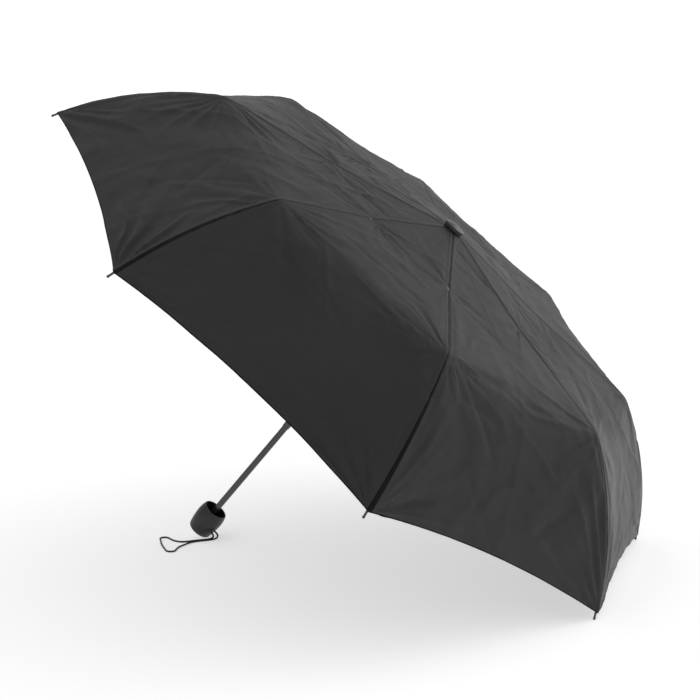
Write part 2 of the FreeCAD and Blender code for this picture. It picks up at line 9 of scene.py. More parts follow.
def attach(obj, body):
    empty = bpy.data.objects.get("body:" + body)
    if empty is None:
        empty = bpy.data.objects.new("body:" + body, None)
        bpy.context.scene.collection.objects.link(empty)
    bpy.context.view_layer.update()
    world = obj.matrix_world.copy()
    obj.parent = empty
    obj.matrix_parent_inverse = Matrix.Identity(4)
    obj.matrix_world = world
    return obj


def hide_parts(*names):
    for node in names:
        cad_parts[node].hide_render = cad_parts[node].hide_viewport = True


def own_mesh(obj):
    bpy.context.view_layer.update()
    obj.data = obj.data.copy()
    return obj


# A compact folding umbrella, open, lying on a white floor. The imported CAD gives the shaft, the ribs
# and the handle; this script adds the cover, the two straps, the materials, the light and the
# camera. Lengths are in metres unless a name or a comment says otherwise.

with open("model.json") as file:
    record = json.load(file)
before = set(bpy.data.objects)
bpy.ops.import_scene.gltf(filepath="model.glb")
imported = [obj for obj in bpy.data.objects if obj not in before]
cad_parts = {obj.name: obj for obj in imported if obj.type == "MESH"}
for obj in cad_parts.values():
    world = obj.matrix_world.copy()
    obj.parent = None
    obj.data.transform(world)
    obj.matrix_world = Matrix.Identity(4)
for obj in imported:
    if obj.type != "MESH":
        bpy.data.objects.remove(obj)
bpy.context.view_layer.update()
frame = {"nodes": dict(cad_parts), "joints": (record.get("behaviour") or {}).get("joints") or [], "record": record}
record = frame["record"]
nodes = frame["nodes"]
joints = {joint["name"]: joint for joint in frame["joints"]}

# ---- the upright frame: +Z up the shaft, height 0 at the top of the cap, as in the CAD

RIBS = 8
HALF_PITCH = math.pi / RIBS
FOOT_HEIGHT = -0.5605

foot_rest = next(mount for mount in record["mounts"] if mount["name"] == "foot_rest")
shaft_up = -Vector(foot_rest["axis"]).normalized()
side_axis = Vector((0, 1, 0))
lean_axis = side_axis.cross(shaft_up)
shaft_origin = Vector(foot_rest["pos_m"]) - shaft_up * FOOT_HEIGHT
TURN = np.array([lean_axis, side_axis, shaft_up])
ORIGIN = np.array(shaft_origin)


def laid(points):
    """Points of the upright frame, in the row frame."""
    return np.asarray(points, float) @ TURN + ORIGIN


def upright(points):
    """Points of the row frame, in the upright frame."""
    return (np.asarray(points, float) - ORIGIN) @ TURN.T


def pivot(joint_name):
    """A rib joint's (radius, height) and its direction about the shaft."""
    x, y, z = upright(joints[joint_name]["pos_m"])
    return (math.hypot(x, y), z), math.atan2(y, x)


NOTCH, RIB_TURN_1 = pivot("top_rib_1_hinge")
ELBOW = pivot("middle_rib_1_hinge")[0]
KNEE = pivot("outer_rib_1_hinge")[0]
TIP = (0.485, -0.199)
BOW = math.radians(30)


def rib_turn(number):
    return RIB_TURN_1 + (number - 1) * 2 * HALF_PITCH


# ---- the cover's line over a rib, from the hub to the hem

COVER_OFFSET = 0.00235
HUB_EDGE = (0.007, -0.0073)
HEM_STOP = 0.0065
KNEE_LIFT = 0.0012
KNEE_SOFTNESS = 0.006


def heading(start, end):
    return math.atan2(end[1] - start[1], end[0] - start[0])


def stepped(start, direction, length):
    return (start[0] + length * math.cos(direction), start[1] + length * math.sin(direction))


def arc_of_outer_rib():
    """The middle, the radius and the start direction of the outer rib's arc."""
    chord = math.dist(KNEE, TIP)
    radius = chord / 2 / math.sin(BOW / 2)
    halfway = ((KNEE[0] + TIP[0]) / 2, (KNEE[1] + TIP[1]) / 2)
    middle = stepped(halfway, heading(KNEE, TIP) - math.pi / 2, radius * math.cos(BOW / 2))
    return middle, radius, heading(middle, KNEE)


def cover_line():
    """Even (radius, height) points along the cover over a rib, and their distances from the hub."""
    middle, radius, first = arc_of_outer_rib()
    corners = [HUB_EDGE, stepped(ELBOW, heading(NOTCH, ELBOW) + math.pi / 2, COVER_OFFSET)]
    corners.append(stepped(middle, first, radius + COVER_OFFSET + KNEE_LIFT))
    turn = BOW - HEM_STOP / radius
    for step in range(1, 61):
        lift = KNEE_LIFT * max(0.0, 1 - step / 12)
        corners.append(stepped(middle, first - turn * step / 60, radius + COVER_OFFSET + lift))
    corners = np.array(corners)
    run = np.concatenate([[0], np.cumsum(np.linalg.norm(np.diff(corners, axis=0), axis=1))])
    fine = np.linspace(0, run[-1], 1201)
    line = np.stack([np.interp(fine, run, corners[:, k]) for k in (0, 1)], 1)
    return line, fine, run[1], run[2]


LINE, LINE_RUN, ELBOW_RUN, KNEE_RUN = cover_line()
COVER_LENGTH = LINE_RUN[-1]


def soften(line, run, width):
    """Rounds the line's corners over a width, and leaves its ends."""
    step = run[1] - run[0]
    reach = int(3 * width / step)
    kernel = np.exp(-0.5 * (np.arange(-reach, reach + 1) * step / width) ** 2)
    kernel /= kernel.sum()
    padded = np.concatenate([
        2 * line[0] - line[reach:0:-1],
        line,
        2 * line[-1] - line[-2:-reach - 2:-1],
    ])
    return np.stack([np.convolve(padded[:, k], kernel, "valid") for k in (0, 1)], 1)


LINE = soften(LINE, LINE_RUN, KNEE_SOFTNESS)
SLOPE = np.unwrap(np.arctan2(np.gradient(LINE[:, 1]), np.gradient(LINE[:, 0])))
CURVATURE = -np.gradient(SLOPE, LINE_RUN)


def on_line(run, values):
    return np.interp(run, LINE_RUN, values)


# ---- the cover's grid: rows from the hub to the hem, columns round the shaft

HEM_WIDTH = 0.006
HEM_ROWS = (0.0, 0.0005, 0.0014, 0.0030, 0.0044, 0.0056, 0.0066, 0.0080, 0.0100)
ROW_STEP = 0.0034
HALF_COLUMNS = 44
COLUMN_CLUSTER = 1.35
SCALLOP = 0.012
SCALLOP_REACH = 0.11


def row_runs():
    """The rows' distances from the hub, and the rows that lie on the elbows and the knees."""
    top = np.linspace(0, ELBOW_RUN, round(ELBOW_RUN / ROW_STEP) + 1)
    middle = np.linspace(ELBOW_RUN, KNEE_RUN, round((KNEE_RUN - ELBOW_RUN) / ROW_STEP) + 1)
    stop = COVER_LENGTH - HEM_ROWS[-1]
    outer = np.linspace(KNEE_RUN, stop, round((stop - KNEE_RUN) / ROW_STEP) + 1)
    hem = [COVER_LENGTH - back for back in reversed(HEM_ROWS[:-1])]
    runs = np.concatenate([top, middle[1:], outer[1:], hem])
    return runs, len(top) - 1, len(top) + len(middle) - 2


RUNS, ELBOW_ROW, KNEE_ROW = row_runs()
HALF_SHARES = (np.arange(HALF_COLUMNS + 1) / HALF_COLUMNS) ** COLUMN_CLUSTER / 2
ACROSS = np.concatenate([HALF_SHARES, 1 - HALF_SHARES[-2::-1]])[:-1]
COLUMNS = len(ACROSS)


def sag(tension_ratio):
    """How far the cloth between two ribs lies inside the flat panel: rows of runs, columns of shares."""
    rows, halves = 90, 14
    runs = np.linspace(0, COVER_LENGTH, rows)
    shares = np.linspace(0, 0.5, halves)
    width = 2 * on_line(runs, LINE[:, 0]) * math.sin(HALF_PITCH)
    curve = on_line(runs, CURVATURE)
    count = rows * halves
    matrix = np.zeros((count, count))
    right = np.zeros(count)
    step = runs[1] - runs[0]
    for i in range(rows):
        for j in range(halves):
            at = i * halves + j
            if i == 0 or j == 0:
                matrix[at, at] = 1
                continue
            across = 1 / (width[i] * (shares[1] - shares[0])) ** 2
            along = tension_ratio / step ** 2
            matrix[at, at] = -2 * across - 2 * along
            matrix[at, at - 1] += across
            matrix[at, at + 1 if j < halves - 1 else at - 1] += across
            matrix[at, at - halves] += along
            matrix[at, at + halves if i < rows - 1 else at - halves] += along
            right[at] = -tension_ratio * curve[i]
    found = np.linalg.solve(matrix, right).reshape(rows, halves)
    by_row = np.stack([np.interp(RUNS, runs, found[:, j]) for j in range(halves)], 1)
    folded = np.minimum(ACROSS, 1 - ACROSS)
    return np.stack([np.interp(folded, shares, row) for row in by_row])


TENSION_RATIO = 0.10
SAG = sag(TENSION_RATIO)


# ---- noise for folds and crumples, the same on each run

LATTICE = np.random.default_rng(11).uniform(-1, 1, (128, 128))


def noise(x, y):
    """Smooth noise from -1 to 1 whose bumps are about one unit wide."""
    column, row = np.floor(x).astype(int), np.floor(y).astype(int)
    fx, fy = x - column, y - row
    fx = fx ** 3 * (fx * (6 * fx - 15) + 10)
    fy = fy ** 3 * (fy * (6 * fy - 15) + 10)
    low = LATTICE[column % 128, row % 128] * (1 - fx) + LATTICE[(column + 1) % 128, row % 128] * fx
    high = LATTICE[column % 128, (row + 1) % 128] * (1 - fx)
    high = high + LATTICE[(column + 1) % 128, (row + 1) % 128] * fx
    return low * (1 - fy) + high * fy


def ridged(x, y):
    """Noise with sharp crests, from -1 to 1."""
    return 1 - 2 * np.abs(noise(x, y))


def ramp(value, start, end):
    """0 at start, 1 at end, and smooth between them."""
    share = np.clip((value - start) / (end - start), 0, 1)
    return share * share * (3 - 2 * share)


# ---- the folds in one panel; x is the distance across from its middle, y the distance from the hub

def fan(x, y, corner, inward, spread, reach, folds, seed):
    """Folds that run out from a corner like rays, strongest at a distance of reach."""
    from_corner = np.hypot(x - corner[0], y - corner[1])
    direction = np.arctan2(y - corner[1], x - corner[0]) - inward
    direction = (direction + math.pi) % (2 * math.pi) - math.pi
    wander = 0.12 * noise(from_corner / 0.05 + seed, direction * 2)
    rays = ridged((direction + wander) * folds + seed, from_corner / 0.12 + seed)
    strength = from_corner / reach * np.exp(1 - from_corner / reach)
    return rays * strength * (1 - ramp(np.abs(direction), spread * 0.6, spread))


def crease(x, y, start, end, width):
    """A sharp fold along a line, that fades towards its ends."""
    along = np.array(end) - np.array(start)
    length = math.hypot(*along)
    share = ((x - start[0]) * along[0] + (y - start[1]) * along[1]) / length ** 2
    away = np.abs((x - start[0]) * along[1] - (y - start[1]) * along[0]) / length
    return np.exp(-away / width) * ramp(share, 0, 0.15) * (1 - ramp(share, 0.85, 1))


# Each fan of folds: the corner it runs out from, where it heads, and its height, spread, reach,
# number of folds and place in the noise
FANS = (
    ("tip", "middle", 0.0020, 1.1, 0.06, 6.0, 0),
    ("knee", "hem", 0.0012, 1.3, 0.05, 4.0, 5),
    ("knee", "hub", 0.0010, 1.1, 0.05, 4.0, 9),
    ("elbow", "hem", 0.0009, 2.2, 0.03, 3.0, 13),
)


def corner_folds(x, y, width, seed):
    """The folds that run out from a panel's tips, knees and elbows."""
    half_hem = width[-1] / 2
    half_knee = width[KNEE_ROW] / 2
    half_elbow = width[ELBOW_ROW] / 2
    height = np.zeros_like(x)
    for side in (-1, 1):
        corners = {
            "tip": (side * half_hem, COVER_LENGTH),
            "knee": (side * half_knee, KNEE_RUN),
            "elbow": (side * half_elbow, ELBOW_RUN),
        }
        headings = {
            "middle": math.atan2(-0.10, -side * half_hem),
            "hem": math.atan2(0.17, -side * half_knee * 0.9),
            "hub": math.atan2(-0.12, -side * half_knee * 0.9),
        }
        for corner, towards, strength, spread, reach, folds, place in FANS:
            rays = fan(x, y, corners[corner], headings[towards], spread, reach, folds, seed + place + side)
            height += strength * rays
    return height


CREASES = 9
CREASE_HEIGHT = 0.0011
CREASE_WIDTH = 0.0035
CREASE_ANGLES = [0.15, 0.5, 0.9, 1.35, -0.4, -0.8, -1.2]
MIDDLE_CREASE_HEIGHT = 0.0005
MIDDLE_CREASE_WIDTH = 0.003


def panel_folds(x, y, width, number):
    """How far the cloth of one panel stands out of its taut shape."""
    random = np.random.default_rng(100 + number)
    seed = 17.3 * (number + 1)
    half_hem = width[-1] / 2
    height = corner_folds(x, y, width, seed)
    lengthwise = noise(x / 0.038 + seed, y / 0.21 + seed)
    height += 0.0011 * lengthwise * ramp(y, 0.05, 0.45)
    height += 0.0006 * ridged(x / 0.05 + y / 0.11 + seed, y / 0.09 - x / 0.2)
    height += 0.00025 * ridged(x / 0.021 + seed, y / 0.024 + seed) * ramp(y, 0.0, 0.1)
    height += 0.00010 * noise(x / 0.009 + seed, y / 0.010)
    beyond_hem = COVER_LENGTH + 0.08
    height += MIDDLE_CREASE_HEIGHT * crease(x, y, (0, 0.0), (0, beyond_hem), MIDDLE_CREASE_WIDTH)
    for _ in range(CREASES):
        centre = (random.uniform(-0.6, 0.6), random.uniform(0.12, 0.95))
        middle = (centre[0] * half_hem * centre[1], centre[1] * COVER_LENGTH)
        angle = random.choice(CREASE_ANGLES) + random.normal(0, 0.12)
        reach = random.uniform(0.03, 0.085)
        step = (reach * math.cos(angle), reach * math.sin(angle))
        start = (middle[0] - step[0], middle[1] - step[1])
        end = (middle[0] + step[0], middle[1] + step[1])
        sign = random.choice([-1, 1])
        height += sign * CREASE_HEIGHT * crease(x, y, start, end, CREASE_WIDTH)
    return height


def seam_relief(from_seam, y):
    """The sewn seam over a rib: a groove between two lips, and the puckers beside it."""
    puckers = noise(y / 0.0075, np.sign(from_seam) * 3.7 + 0 * y)
    relief = -0.0007 * np.exp(-(from_seam / 0.0011) ** 2)
    relief += 0.0004 * np.exp(-((np.abs(from_seam) - 0.0035) / 0.0020) ** 2)
    return relief + 0.00022 * puckers * np.exp(-np.abs(from_seam) / 0.009)


TIE_RUNS = (ELBOW_RUN, KNEE_RUN + 0.3 * (COVER_LENGTH - KNEE_RUN))
TIE_DEPTH = 0.0010
TIE_WIDTH = 0.0045


def tie_relief(from_seam, y):
    """Dimples where the cloth is tied to the rib below."""
    relief = 0
    for run in TIE_RUNS:
        away = np.hypot(from_seam, y - run)
        relief = relief - TIE_DEPTH * np.exp(-(away / TIE_WIDTH) ** 2)
    return relief


# ---- the whole cover as one grid, in the upright frame

CLOTH = 0.00034
HEM_LIFT = 0.0003
HEM_EDGE = 0.0006


def in_hem(run):
    """0 in the single cloth and 1 in the hem."""
    edge = COVER_LENGTH - HEM_WIDTH
    return ramp(run, edge - HEM_EDGE, edge + HEM_EDGE)


def grid_normals(points):
    """Outward normals of a grid of rows by columns that closes round the shaft."""
    down = np.gradient(points, axis=0)
    wrapped = np.concatenate([points[:, -1:], points, points[:, :1]], 1)
    around = wrapped[:, 2:] - wrapped[:, :-2]
    normals = np.cross(down, around)
    normals = normals / np.linalg.norm(normals, axis=2, keepdims=True)
    return normals * np.where(normals[:, :, 2:].mean() < 0, -1, 1)


def cover_grid():
    """The cover's outer surface, and each point's distance from the nearest seam and from the hub."""
    share = ACROSS[None, :]
    hang = 4 * share * (1 - share)
    reached = ramp(RUNS[:, None], COVER_LENGTH - SCALLOP_REACH, COVER_LENGTH - HEM_ROWS[-1])
    pulled = SCALLOP * hang * reached
    run = RUNS[:, None] - pulled
    radius, height = on_line(run, LINE[:, 0]), on_line(run, LINE[:, 1])
    slope = on_line(run, SLOPE)
    width = 2 * radius * math.sin(HALF_PITCH)
    seam_width = 2 * on_line(RUNS, LINE[:, 0]) * math.sin(HALF_PITCH)
    panels, from_seams = [], []
    for number in range(RIBS):
        x = (share - 0.5) * width
        folds = panel_folds(x, run, seam_width, number)
        hold = ramp(0.5 * width - np.abs(x), 0.0, 0.014) * ramp(run, 0.0, 0.04)
        from_seam = np.where(share < 0.5, share * width, (share - 1) * width)
        lift = folds * hold - SAG
        lift += seam_relief(from_seam, run) * ramp(run, 0.004, 0.02)
        lift += tie_relief(from_seam, run)
        lift += HEM_LIFT * in_hem(run + pulled)
        out = radius * math.cos(HALF_PITCH) - lift * np.sin(slope)
        up = height + lift * np.cos(slope)
        turn = rib_turn(number + 1) + HALF_PITCH
        px = out * math.cos(turn) - x * math.sin(turn)
        py = out * math.sin(turn) + x * math.cos(turn)
        panels.append(np.stack([px, py, up + 0 * x], 2))
        from_seams.append(from_seam + 0 * run)
    from_hub = np.tile(RUNS[:, None] + 0 * run, (1, RIBS))
    return np.concatenate(panels, 1), np.concatenate(from_seams, 1), from_hub


COVER, FROM_SEAM, FROM_HUB = cover_grid()
NORMALS = grid_normals(COVER)


def thickness():
    """The cloth's thickness in each row: double in the hem."""
    return CLOTH * (1 + 1.4 * in_hem(RUNS))


def new_object(name, mesh):
    piece = bpy.data.objects.new(name, mesh)
    bpy.context.scene.collection.objects.link(piece)
    return piece


def shell_faces(rows, columns):
    """Quads for an outer and an inner grid and the rims between them."""
    def index(layer, i, j):
        return (layer * rows + i) * columns + j
    faces = []
    for i in range(rows - 1):
        for j in range(columns - 1):
            corners = ((i, j), (i + 1, j), (i + 1, j + 1), (i, j + 1))
            faces.append(tuple(index(0, *corner) for corner in corners))
            faces.append(tuple(index(1, *corners[k]) for k in (0, 3, 2, 1)))
    for i, k in ((0, 1), (rows - 1, -1)):
        for j in range(columns - 1):
            rim = (index(0, i, j), index(0, i, j + 1), index(1, i, j + 1), index(1, i, j))
            faces.append(rim[::k])
    for j, k in ((0, -1), (columns - 1, 1)):
        for i in range(rows - 1):
            rim = (index(0, i, j), index(0, i + 1, j), index(1, i + 1, j), index(1, i, j))
            faces.append(rim[::k])
    return faces


def cloth_shell(name, outer, inner, normals, uv):
    """A closed thin shell between two grids, shaded with the outer grid's normals."""
    points = np.concatenate([outer.reshape(-1, 3), inner.reshape(-1, 3)])
    mesh = bpy.data.meshes.new(name)
    mesh.from_pydata(laid(points).tolist(), [], shell_faces(*outer.shape[:2]))
    mesh.update()
    flat = normals.reshape(-1, 3) @ TURN
    layer = mesh.uv_layers.new(name="cloth")
    corners = np.empty(len(mesh.loops), np.int32)
    mesh.loops.foreach_get("vertex_index", corners)
    both_uv = np.concatenate([uv.reshape(-1, 2), uv.reshape(-1, 2)])
    layer.data.foreach_set("uv", both_uv[corners].astype(np.float32).ravel())
    mesh.shade_smooth()
    mesh.normals_split_custom_set_from_vertices(np.concatenate([flat, -flat]).tolist())
    return new_object(name, mesh)


def cover_piece(name, rib, first_row, last_row):
    """The part of the cover that rides on one bar of a rib, as a closed shell."""
    start = (rib - 2) * COLUMNS + HALF_COLUMNS
    picked = np.arange(start, start + COLUMNS + 1) % (RIBS * COLUMNS)
    rows = slice(first_row, last_row + 1)
    outer = COVER[rows][:, picked]
    normals = NORMALS[rows][:, picked]
    inner = outer - normals * thickness()[rows][:, None, None]
    uv = np.stack([FROM_SEAM[rows][:, picked], FROM_HUB[rows][:, picked]], 2)
    return cloth_shell(name, outer, inner, normals, uv)


def folds_with_runner(piece):
    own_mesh(piece)


SECTIONS = {
    "top": (0, ELBOW_ROW, "top_rib"),
    "middle": (ELBOW_ROW, KNEE_ROW, "middle_rib"),
    "outer": (KNEE_ROW, len(RUNS) - 1, "outer_rib"),
}

cover_pieces = []
for rib in range(1, RIBS + 1):
    for section, (first_row, last_row, bar) in SECTIONS.items():
        piece = cover_piece(f"cover_{section}_{rib}", rib, first_row, last_row)
        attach(piece, f"{bar}_{rib}")
        folds_with_runner(piece)
        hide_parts("canopy")
        cover_pieces.append(piece)


# ---- the tie strap, which lies on the cover just above the hem

TIE_STRAP_PANEL = 3
TIE_STRAP_LENGTH = 0.105
TIE_STRAP_WIDTH = 0.018
TIE_STRAP_HEIGHT = 0.012
TIE_STRAP_THICKNESS = 0.0005
TIE_STRAP_CROWN = 0.0004
TIE_STRAP_GAP = 0.0002


def on_cover(values, panel, share, run):
    """A grid's values at shares across one panel and at distances from the hub."""
    columns = np.interp(share, np.append(ACROSS, 1), np.arange(COLUMNS + 1)) + (panel - 1) * COLUMNS
    rows = np.interp(run, RUNS, np.arange(len(RUNS)))
    i, j = rows.astype(int), columns.astype(int)
    down, right = (rows - i)[:, None, None], (columns - j)[None, :, None]
    upper = values[i][:, j] * (1 - right) + values[i][:, j + 1] * right
    lower = values[i + 1][:, j] * (1 - right) + values[i + 1][:, j + 1] * right
    return upper * (1 - down) + lower * down


def tie_strap():
    """A folded and sewn band of the cover's cloth, a little raised in its middle."""
    last = COVER_LENGTH - TIE_STRAP_HEIGHT
    run = np.linspace(last - TIE_STRAP_WIDTH, last, 10)
    width = 2 * on_line(last, LINE[:, 0]) * math.sin(HALF_PITCH)
    along = np.linspace(-TIE_STRAP_LENGTH / 2, TIE_STRAP_LENGTH / 2, 64)
    surface = on_cover(COVER, TIE_STRAP_PANEL, 0.5 + along / width, run)
    normals = on_cover(NORMALS, TIE_STRAP_PANEL, 0.5 + along / width, run)
    ends = 1 - np.abs(along / TIE_STRAP_LENGTH * 2) ** 8
    edges = 1 - np.abs(np.linspace(-1, 1, len(run))) ** 4
    crown = TIE_STRAP_CROWN * ends[None, :, None] * edges[:, None, None]
    inner = surface + TIE_STRAP_GAP * normals
    outer = inner + (TIE_STRAP_THICKNESS + crown) * normals
    uv = np.stack(np.broadcast_arrays(along[None, :] + width / 2, run[:, None]), 2)
    strap = cloth_shell("tie_strap_cloth", outer, inner, normals, uv)
    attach(strap, f"outer_rib_{TIE_STRAP_PANEL}")
    folds_with_runner(strap)
    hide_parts("tie_strap")
    return strap


cover_pieces.append(tie_strap())


# ---- node materials

class Surface:
    """A Principled material with a few short ways to wire its nodes."""

    def __init__(self, name, **values):
        self.material = bpy.data.materials.new(name)
        self.material.use_nodes = True
        self.tree = self.material.node_tree
        self.shader = next(n for n in self.tree.nodes if n.type == "BSDF_PRINCIPLED")
        for socket, value in values.items():
            self.shader.inputs[socket.replace("_", " ")].default_value = value

    def node(self, kind, **settings):
        made = self.tree.nodes.new(kind)
        for name, value in settings.items():
            setattr(made, name, value)
        return made

    def link(self, source, target):
        self.tree.links.new(source, target)

    def math(self, operation, a, b=None, c=None, clamp=False):
        made = self.node("ShaderNodeMath", operation=operation, use_clamp=clamp)
        for socket, value in zip(made.inputs, (a, b, c)):
            if value is None:
                continue
            if isinstance(value, (int, float)):
                socket.default_value = value
            else:
                self.link(value, socket)
        return made.outputs[0]

    def noise(self, vector, scale, detail=3.0, roughness=0.5):
        made = self.node("ShaderNodeTexNoise")
        made.inputs["Scale"].default_value = scale
        made.inputs["Detail"].default_value = detail
        made.inputs["Roughness"].default_value = roughness
        self.link(vector, made.inputs["Vector"])
        return made.outputs["Fac"]

    def spread(self, value, low, high, start=0.0, end=1.0):
        made = self.node("ShaderNodeMapRange")
        for socket, number in zip(("From Min", "From Max", "To Min", "To Max"), (start, end, low, high)):
            made.inputs[socket].default_value = number
        self.link(value, made.inputs["Value"])
        return made.outputs["Result"]

    def mix(self, share, first, second):
        made = self.node("ShaderNodeMix", data_type="RGBA")
        self.link(share, made.inputs["Factor"])
        for socket, colour in ((made.inputs[6], first), (made.inputs[7], second)):
            if isinstance(colour, tuple):
                socket.default_value = (*colour, 1)
            else:
                self.link(colour, socket)
        return made.outputs[2]

    def bump(self, height, distance, strength=1.0, below=None):
        made = self.node("ShaderNodeBump")
        made.inputs["Strength"].default_value = strength
        made.inputs["Distance"].default_value = distance
        self.link(height, made.inputs["Height"])
        if below is not None:
            self.link(below, made.inputs["Normal"])
        return made.outputs["Normal"]

    def set(self, **sources):
        for socket, source in sources.items():
            self.link(source, self.shader.inputs[socket.replace("_", " ")])


WEAVE_PITCH = 0.00042
CLOTH_DARK = (0.024, 0.024, 0.0244)
CLOTH_LIGHT = (0.031, 0.031, 0.0314)
CLOTH_SLUB = (0.046, 0.046, 0.0464)
# near-black of the seams and the hem's edge: partly their own colour, partly painted shade
SEAM_HEM_AND_SHADE_BLACK = (0.0008, 0.0008, 0.0008)
CORD_STRAND = (0.022, 0.022, 0.023)
# painted shade: the darker colour put into the gaps between the cord's strands
CORD_GAP_SHADE = (0.006, 0.006, 0.006)


def cover_cloth():
    """Plain-woven polyester, dark grey, with sewn seams over the ribs and a stitched hem. The black lines along
    the seams and at the hem's edge are partly the seams and the hem themselves and partly painted shade of their
    grooves, and towards the tips the seam line widens as painted shadow of the valleys beside the ribs.
    """
    cloth = Surface(
        "cover_cloth", Roughness=0.42, Specular_IOR_Level=0.16, Sheen_Weight=0.04, Sheen_Roughness=0.4,
    )
    uv = cloth.node("ShaderNodeUVMap", uv_map="cloth").outputs["UV"]
    place = cloth.node("ShaderNodeTexCoord").outputs["Object"]
    split = cloth.node("ShaderNodeSeparateXYZ")
    cloth.link(uv, split.inputs[0])
    across, run = split.outputs[0], split.outputs[1]
    warp = cloth.math("SINE", cloth.math("MULTIPLY", across, 2 * math.pi / WEAVE_PITCH))
    weft = cloth.math("SINE", cloth.math("MULTIPLY", run, 2 * math.pi / WEAVE_PITCH))
    weave = cloth.math("MULTIPLY", warp, weft)
    cloudy = cloth.noise(place, 9.0, 4.0)
    slubs = cloth.noise(place, 900.0, 2.0)
    dark = cloth.mix(cloth.spread(cloudy, 0, 1, 0.3, 0.7), CLOTH_DARK, CLOTH_LIGHT)
    grained = cloth.mix(cloth.spread(slubs, 0, 0.5, 0.35, 0.75), dark, CLOTH_SLUB)
    # painted shade: a black band along each seam, partly the seam itself and partly painted shade of its groove,
    # widening from the knee to the tip as painted shadow of the valleys beside the rib
    shadow_widening = cloth.spread(run, 0.0002, 0.0026, KNEE_RUN - 0.01, COVER_LENGTH)
    beside = cloth.math("SUBTRACT", cloth.math("ABSOLUTE", across), shadow_widening)
    seam = cloth.spread(beside, 1.0, 0.0, 0.0004, 0.0010)
    # painted shade: the hem's outermost edge is black, partly the hem itself and partly painted shade under its
    # edge
    edge = cloth.spread(run, 0.0, 1.0, COVER_LENGTH - 0.0018, COVER_LENGTH - 0.0012)
    seam_and_hem_shade_line = cloth.math("MAXIMUM", seam, edge)
    cloth.set(Base_Color=cloth.mix(seam_and_hem_shade_line, grained, SEAM_HEM_AND_SHADE_BLACK))
    cloth.set(Roughness=cloth.spread(cloudy, 0.36, 0.48, 0.3, 0.7))
    crumple = cloth.bump(cloth.noise(place, 120.0, 3.0, 0.6), 0.00035, 0.5)
    woven = cloth.bump(weave, 0.00004, 0.5, crumple)
    cloth.set(Normal=woven)
    return cloth.material


def plastic(name, colour, roughness, grain, coat=0.0):
    """Moulded plastic: an even colour with faint mottling, and a fine grain."""
    made = Surface(name, Roughness=roughness, Coat_Weight=coat, Coat_Roughness=0.25)
    place = made.node("ShaderNodeTexCoord").outputs["Object"]
    mottled = made.noise(place, 60.0, 4.0)
    lighter = tuple(min(1.0, 1.35 * c + 0.004) for c in colour)
    made.set(Base_Color=made.mix(made.spread(mottled, 0, 1, 0.3, 0.75), colour, lighter))
    made.set(Roughness=made.spread(mottled, roughness - 0.05, roughness + 0.06, 0.3, 0.7))
    made.set(Normal=made.bump(made.noise(place, 2600.0, 2.0), grain, 0.4))
    return made.material


def metal(name, colour, roughness, streaks, metallic=1.0, coat=0.0):
    """Drawn or rolled metal, with fine streaks of roughness and small specks."""
    made = Surface(name, Metallic=metallic, Roughness=roughness, Coat_Weight=coat, Coat_Roughness=0.12)
    place = made.node("ShaderNodeTexCoord").outputs["Object"]
    stretch = made.node("ShaderNodeMapping")
    stretch.inputs["Scale"].default_value = (1.0, 1.0, 0.15)
    made.link(place, stretch.inputs["Vector"])
    drawn = made.noise(stretch.outputs[0], streaks, 4.0)
    worn = made.noise(place, 35.0, 5.0, 0.65)
    darker = tuple(0.7 * c for c in colour)
    made.set(Base_Color=made.mix(made.spread(worn, 0, 1, 0.35, 0.7), darker, colour))
    made.set(Roughness=made.spread(drawn, roughness - 0.07, roughness + 0.09, 0.3, 0.7))
    made.set(Normal=made.bump(drawn, 0.00005, 0.3))
    return made.material


def braided_cord():
    """A fine round braid: strands that cross round the cord, with painted shade darkening the gaps between them.
    """
    made = Surface("strap_cord", Roughness=0.6, Sheen_Weight=0.25, Sheen_Roughness=0.4)
    place = made.node("ShaderNodeTexCoord").outputs["Object"]
    strands = made.node("ShaderNodeTexVoronoi")
    strands.inputs["Scale"].default_value = 1500.0
    made.link(place, strands.inputs["Vector"])
    gaps = strands.outputs["Distance"]
    # painted shade: the colour darkens from each strand's middle into the gaps between strands
    made.set(Base_Color=made.mix(made.spread(gaps, 0, 1, 0.1, 0.7), CORD_STRAND, CORD_GAP_SHADE))
    fuzz = made.noise(place, 3000.0, 2.0)
    made.set(Normal=made.bump(fuzz, 0.0001, 0.4, made.bump(gaps, 0.0002, 0.6)))
    return made.material


MATERIALS = {
    "cover_cloth": cover_cloth(),
    "handle_plastic": plastic("handle_plastic", (0.010, 0.010, 0.011), 0.38, 0.00004),
    "cap_plastic": plastic("cap_plastic", (0.012, 0.012, 0.013), 0.28, 0.00002, coat=0.3),
    "nylon": plastic("nylon", (0.014, 0.014, 0.015), 0.42, 0.00003),
    "black_steel": metal("black_steel", (0.020, 0.020, 0.022), 0.25, 700.0, metallic=0.0, coat=0.8),
    "spring_wire": metal("spring_wire", (0.55, 0.55, 0.56), 0.30, 900.0),
    "rib_steel": metal("rib_steel", (0.42, 0.43, 0.45), 0.34, 600.0),
    "rib_wire": metal("rib_wire", (0.030, 0.030, 0.033), 0.32, 700.0, metallic=0.0, coat=0.5),
    "strap_cord": braided_cord(),
}


def finish_with(piece, slot):
    piece.data.materials.clear()
    piece.data.materials.append(MATERIALS[slot])


for subpart in record["subparts"]:
    finish_with(nodes[subpart["node"]], subpart["material_slot"])
for piece in cover_pieces:
    finish_with(piece, "cover_cloth")


# ---- the wrist strap: a limp cord from one hole in the handle's side to the other

